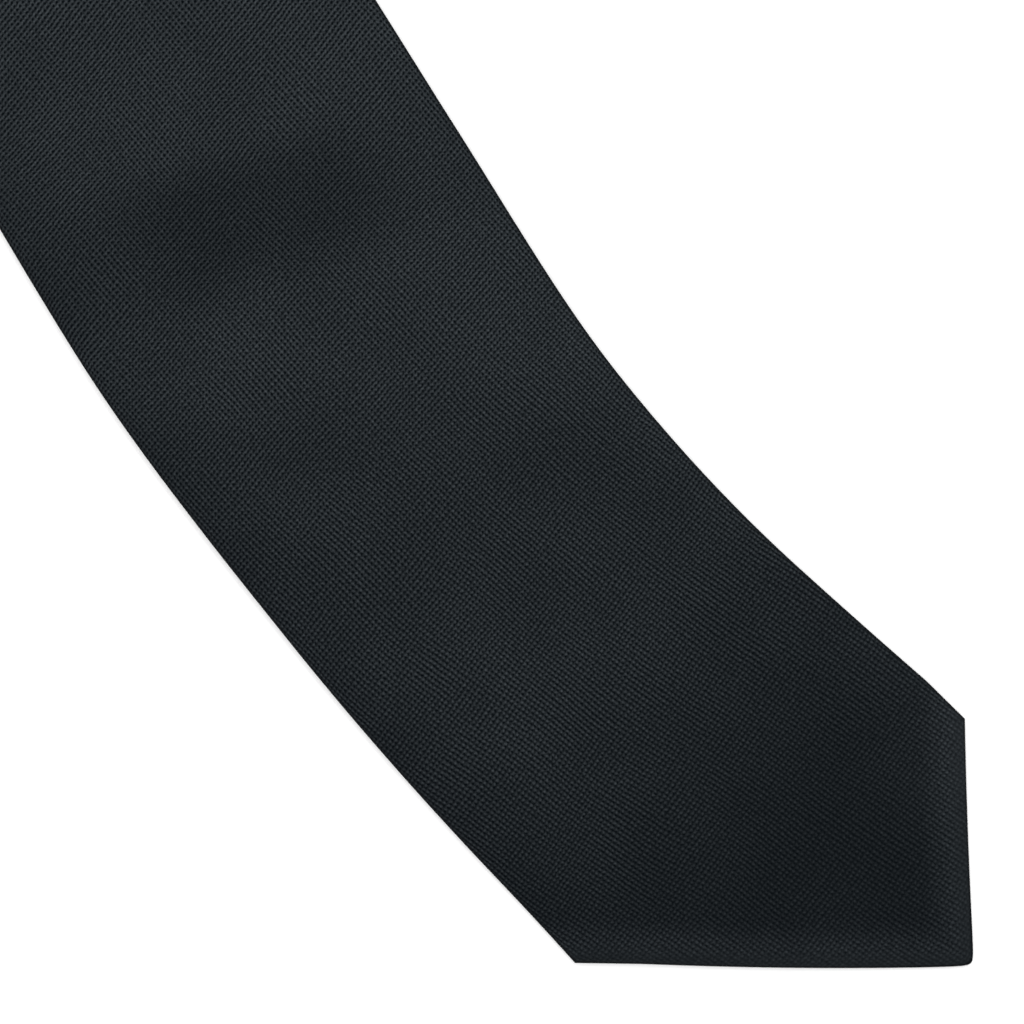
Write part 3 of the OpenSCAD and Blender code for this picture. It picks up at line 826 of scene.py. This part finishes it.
tail_lining = tipping("tail_tipping_satin",
                      list(steps((TIE_L - TAIL_LINED, TIE_L - 26, 6))) + tail_stations + [TIE_L - 6], 13)


# ---------------------------------------------------------------- thread
SLIP_R, BAR_R, TIP_R, SEAM_R, TACK_R = 0.13, 0.15, 0.12, 0.10, 0.12    # thread radii
SIDES = 6                              # of a thread
SLIP_PITCH, BAR_PITCH, TIP_PITCH, SEAM_PITCH = 11.0, 0.34, 3.4, 1.9


def tube_points(path, r):
    """Points, faces and uv of a round thread along a path in metres, closed at both ends."""
    p = np.asarray(path, float)
    tangent = np.gradient(p, axis=0)
    tangent /= np.linalg.norm(tangent, axis=1)[:, None]
    ref = np.array([0, 0, 1.0]) if abs(tangent[len(p) // 2, 2]) < 0.9 else np.array([1.0, 0, 0])
    a = np.cross(tangent, ref)
    a /= np.linalg.norm(a, axis=1)[:, None]
    b = np.cross(tangent, a)
    turns = np.arange(SIDES) / SIDES
    radii = np.full(len(p), r)
    radii[0] = radii[-1] = r * 0.55
    ring = (p[:, None] + a[:, None] * (np.cos(turns * TURN)[None, :, None] * radii[:, None, None])
            + b[:, None] * (np.sin(turns * TURN)[None, :, None] * radii[:, None, None]))
    length = np.concatenate([[0], np.cumsum(np.linalg.norm(np.diff(p, axis=0), axis=1))]) / MM
    uv = np.stack(np.broadcast_arrays(length[:, None], turns[None, :]), -1)
    return ring.reshape(-1, 3), closed_faces(len(p), SIDES), uv.reshape(-1, 2)


def threads(name, paths, r):
    """Stitches of one kind as one piece; r is in millimetres."""
    points, faces, uvs, count = [], [], [], 0
    for path in paths:
        tube, tube_faces, uv = tube_points(path, r * MM)
        points.append(tube)
        uvs.append(uv)
        faces += [tuple(i + count for i in face) for face in tube_faces]
        count += len(tube)
    return tidy_normals(piece(name, np.concatenate(points), faces, THREAD, np.concatenate(uvs)))


def arc_stitch(s, u, ds, du, depth, v=0.0):
    """A stitch that comes out of the cloth, crosses and goes back in, below height v."""
    x = np.linspace(-1, 1, 7)
    return place(s + ds * x / 2, u + du * x / 2, v + 0.28 - depth * np.sqrt(np.clip(1 - x**2, 0, 1)))


rng = np.random.default_rng(7)


def slip_stitch(name, a, b):
    """The loose hand stitches that close the back, each a little out of place."""
    paths = []
    for s in np.arange(a, b, SLIP_PITCH):
        j = rng.uniform(-0.35, 0.35, 3)
        paths.append(arc_stitch(s + j[0], 0, 1.7 + j[1], 2.0 + j[2], 0.34))
    return threads(name, paths, SLIP_R)


blade_slip = slip_stitch("blade_slip_stitch_thread", TACK_S + 8, SEAM_A - 24)
neck_slip = slip_stitch("neck_slip_stitch_thread", SEAM_A + 26, SEAM_B - 26)
tail_slip = slip_stitch("tail_slip_stitch_thread", SEAM_B + 24, TIE_L - TAIL_TACK - 6)


def bar(name, s0, length):
    """Bar tack: three long stitches bound over by close short ones."""
    x = np.linspace(-1, 1, 9)
    paths = [place(s0 + k, x * length / 2, 0.05 + 0.1 * np.abs(x)) for k in (-0.35, 0, 0.35)]
    for u in np.arange(-length / 2 + 0.3, length / 2, BAR_PITCH):
        a = np.linspace(0, math.pi, 7)
        paths.append(place(s0 - 0.85 * np.cos(a), u + 0.10 * np.cos(a), 0.16 - 0.34 * np.sin(a)))
    return threads(name, paths, BAR_R)


blade_tack = bar("blade_bar_tack_thread", TACK_S + 1.5, 7.0)
tail_tack = bar("tail_bar_tack_thread", TIE_L - TAIL_TACK - 2.5, 5.0)


def tip_stitches(name, end, first, lasts):
    """Fell stitches over the hem's inner edge, holding the tipping."""
    paths = []
    a = np.linspace(-1, 1, 7)
    for side, last in zip((1, -1), lasts):
        for q in np.arange(first, last, TIP_PITCH):
            u = end.off + side * (q - HEM / end.sin) * end.slope
            paths.append(place(end.station(q + 0.55 * a), u - side * 0.75 * a,
                               0.55 + 0.35 * a - 0.55 * (1 - a**2)))
    return threads(name, paths, TIP_R)


blade_tip = tip_stitches("blade_tip_stitch_thread", BLADE, 9.0, (corner_hi + 1, corner_lo + 1))
tail_tip = tip_stitches("tail_tip_stitch_thread", TAIL, 8.0, (TAIL_W / 2 + 1, TAIL_W / 2 + 1))


def seam_thread(name, seam):
    """The machine stitches at the bottom of the bias seam, which runs at 45 degrees."""
    half = float(half_w(seam)) - EDGE_TOP
    paths = []
    x = np.linspace(-1, 1, 5)
    for u in np.arange(-half, half, SEAM_PITCH):
        along = u + SEAM_PITCH / 2 + 0.7 * x
        paths.append(place(seam + along, along, thick(seam) - CLOTH_T - 0.38 + 0.1 * (1 - x**2)))
    return threads(name, paths, SEAM_R)


seam_a_thread = seam_thread("blade_seam_stitches_thread", SEAM_A)
seam_b_thread = seam_thread("tail_seam_stitches_thread", SEAM_B)


# ---------------------------------------------------------------- keeper loop and labels
ROUND = 0.25                           # how far in from a strip's edge its faces stop


def strip(name, s0, h, line, t, mat, uv_s=0.0, cols=6):
    """A flat strip of cloth across the tie, h long along it and t thick, with rounded edges.
    line gives (u, v) along its middle, and uv_s where in the cloth it is cut."""
    u, v = (np.array(x, float) for x in zip(*line))
    tangent = np.gradient(np.stack([u, v], -1), axis=0)
    tangent /= np.linalg.norm(tangent, axis=1)[:, None]
    length = np.concatenate([[0], np.cumsum(np.hypot(np.diff(u), np.diff(v)))])
    # (along the tie, out from the middle, place in the cloth) round the section
    section = [(x * (h / 2 - ROUND), t / 2, x * h / 2) for x in np.linspace(-1, 1, cols)]
    section.append((h / 2, 0, h / 2 + BACK_STEP / 2))
    section += [(x * (h / 2 - ROUND), -t / 2, h + BACK_STEP - x * h / 2) for x in np.linspace(1, -1, cols)]
    section.append((-h / 2, 0, -h / 2 - BACK_STEP / 2))
    k = len(section)
    along, out, cut = (np.tile(column, (len(u), 1)) for column in zip(*section))
    points = place(s0 + along, u[:, None] - tangent[:, 1:2] * out, v[:, None] + tangent[:, 0:1] * out)
    uv = np.stack([uv_s + cut, np.repeat((length - length[-1] / 2)[:, None], k, 1)], -1)
    return tidy_normals(piece(name, points.reshape(-1, 3), closed_faces(len(u), k), mat, uv.reshape(-1, 2)))


def keeper_line():
    """(u, v) along the keeper: sewn down at both ends, and standing off the back between them."""
    half = KEEPER_W / 2
    out = []
    for a in np.linspace(0, 1, 5):
        out.append((-half + 2.6 - 2.2 * a, -0.28 - 0.05 * a))
    for a in np.linspace(0.15, 1, 6):
        x = a * math.pi / 2
        out.append((-half + 0.4 - 0.1 * math.sin(x) + 1.2 * (1 - math.cos(x)), -0.33 - 0.86 * math.sin(x)))
    inner = np.linspace(-half + 4, half - 4, 17)
    mid = [(x, -1.19 - 0.10 * math.cos(x / half * math.pi / 2)) for x in inner]
    right = [(-x, y) for x, y in out[::-1]]
    return out + mid + right


keeper = strip("keeper_loop_band", KEEPER_S, KEEPER_H, keeper_line(), 0.5, SHELL, uv_s=250.0)
LABEL_V = -0.24                        # height of a label's middle; it lies under the cloth


def label(name, s0, w, h, t, mat, n):
    """A blank woven label, very slightly wavy, with n points across."""
    line = [(x, LABEL_V + 0.05 * math.sin(x / 3.0)) for x in np.linspace(-w / 2, w / 2, n)]
    return strip(name, s0, h, line, t, mat, cols=9)


maker = label("maker_label_blank", LABEL_S, LABEL_W, LABEL_H, 0.26, LABEL, 23)
care = label("care_label_blank", CARE_S, CARE_W, CARE_H, 0.24, CARE, 13)


def tacks(name, spots, du, ds, v):
    """Small stitches, one at each (s, u) of spots."""
    return threads(name, [arc_stitch(s, u, ds, du, 0.25, v) for s, u in spots], TACK_R)


keeper_tack = tacks(
    "keeper_stitches_thread",
    [(KEEPER_S + i * 2.0, k * (KEEPER_W / 2 - 1.3)) for k in (-1, 1) for i in range(-2, 3)], 0.9, 0.5, -0.62)
maker_tack = tacks(
    "maker_label_stitches_thread",
    [(LABEL_S + j * (LABEL_H / 2 - 1.0), k * (LABEL_W / 2 - 1.3 - i * 1.9))
     for k in (-1, 1) for j in (-1, 1) for i in range(3)], 1.2, 0.3, -0.50)
care_tack = tacks(
    "care_label_stitches_thread",
    [(CARE_S - CARE_H / 2 + 1.2, i * 2.3) for i in range(-3, 4)], 1.3, 0.2, -0.50)


for ob in (blade_shell, neck_a, blade_pad, neck_pad_a, seam_a_thread):
    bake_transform(ob)
for ob in (tail_shell, neck_b, tail_pad, neck_pad_b, seam_b_thread):
    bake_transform(ob)
for ob in (blade_lining, blade_slip, blade_tack, blade_tip, keeper, keeper_tack, maker, maker_tack):
    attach(ob, "blade")
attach(neck_slip, "neck")
for ob in (tail_lining, tail_slip, tail_tack, tail_tip, care, care_tack):
    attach(ob, "tail")

STANDS_FOR = [
    (blade_shell, "blade_shell", "shell_cloth"), (neck_a, "neck_shell", "shell_cloth"),
    (neck_b, "neck_shell", "shell_cloth"), (tail_shell, "tail_shell", "shell_cloth"),
    (keeper, "keeper_loop", "shell_cloth"),
    (blade_lining, "blade_tipping", "tipping_satin"), (tail_lining, "tail_tipping", "tipping_satin"),
    (blade_pad, "blade_interlining", "wool_interlining"),
    (neck_pad_a, "neck_interlining", "wool_interlining"),
    (neck_pad_b, "neck_interlining", "wool_interlining"),
    (tail_pad, "tail_interlining", "wool_interlining"),
    (blade_slip, "blade_slip_stitch", "thread"), (neck_slip, "neck_slip_stitch", "thread"),
    (tail_slip, "tail_slip_stitch", "thread"), (blade_tack, "blade_bar_tack", "thread"),
    (tail_tack, "tail_bar_tack", "thread"), (blade_tip, "blade_tip_stitch", "thread"),
    (tail_tip, "tail_tip_stitch", "thread"), (seam_a_thread, "blade_seam_stitches", "thread"),
    (seam_b_thread, "tail_seam_stitches", "thread"), (keeper_tack, "keeper_stitches", "thread"),
    (maker, "maker_label", "label_cloth"), (maker_tack, "maker_label_stitches", "thread"),
    (care, "care_label", "label_cloth"), (care_tack, "care_label_stitches", "thread"),
]
for ob, node, slot_name in STANDS_FOR:
    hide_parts(node)


# ---------------------------------------------------------------- studio
def area(name, loc, target, size, power):
    """A square soft light that faces its target."""
    data = bpy.data.lights.new(name, "AREA")
    data.shape = "SQUARE"
    data.size = size
    data.energy = power
    ob = bpy.data.objects.new(name, data)
    bpy.context.scene.collection.objects.link(ob)
    ob.location = loc
    ob.rotation_euler = (Vector(target) - Vector(loc)).to_track_quat("-Z", "Y").to_euler()


FLOOR_HALF, FLOOR_Z = 6.0, -0.0002     # metres; just under the lowest thread
floor_mat, _, floor_bsdf = material("paper_floor")
floor_bsdf.inputs["Base Color"].default_value = (0.97, 0.97, 0.97, 1)
floor_bsdf.inputs["Roughness"].default_value = 0.9
floor_bsdf.inputs["Specular IOR Level"].default_value = 0.1
corners = [(x * FLOOR_HALF, y * FLOOR_HALF, FLOOR_Z) for x, y in ((-1, -1), (1, -1), (1, 1), (-1, 1))]
floor = piece("floor", corners, [(0, 1, 2, 3)], floor_mat, smooth=False)
world = bpy.data.worlds.new("studio")
bpy.context.scene.world = world
world.use_nodes = True
bg = next(n for n in world.node_tree.nodes if n.type == "BACKGROUND")
bg.inputs["Color"].default_value = (1, 1, 1, 1)
bg.inputs["Strength"].default_value = 0.62
area("overhead", (0.1, -0.2, 2.2), (0.1, 0, 0), 2.4, 44)
area("key", (0.15, 0.55, 0.9), (0.50, 0.05, 0), 0.7, 5)
bpy.context.scene.view_settings.view_transform = "Standard"
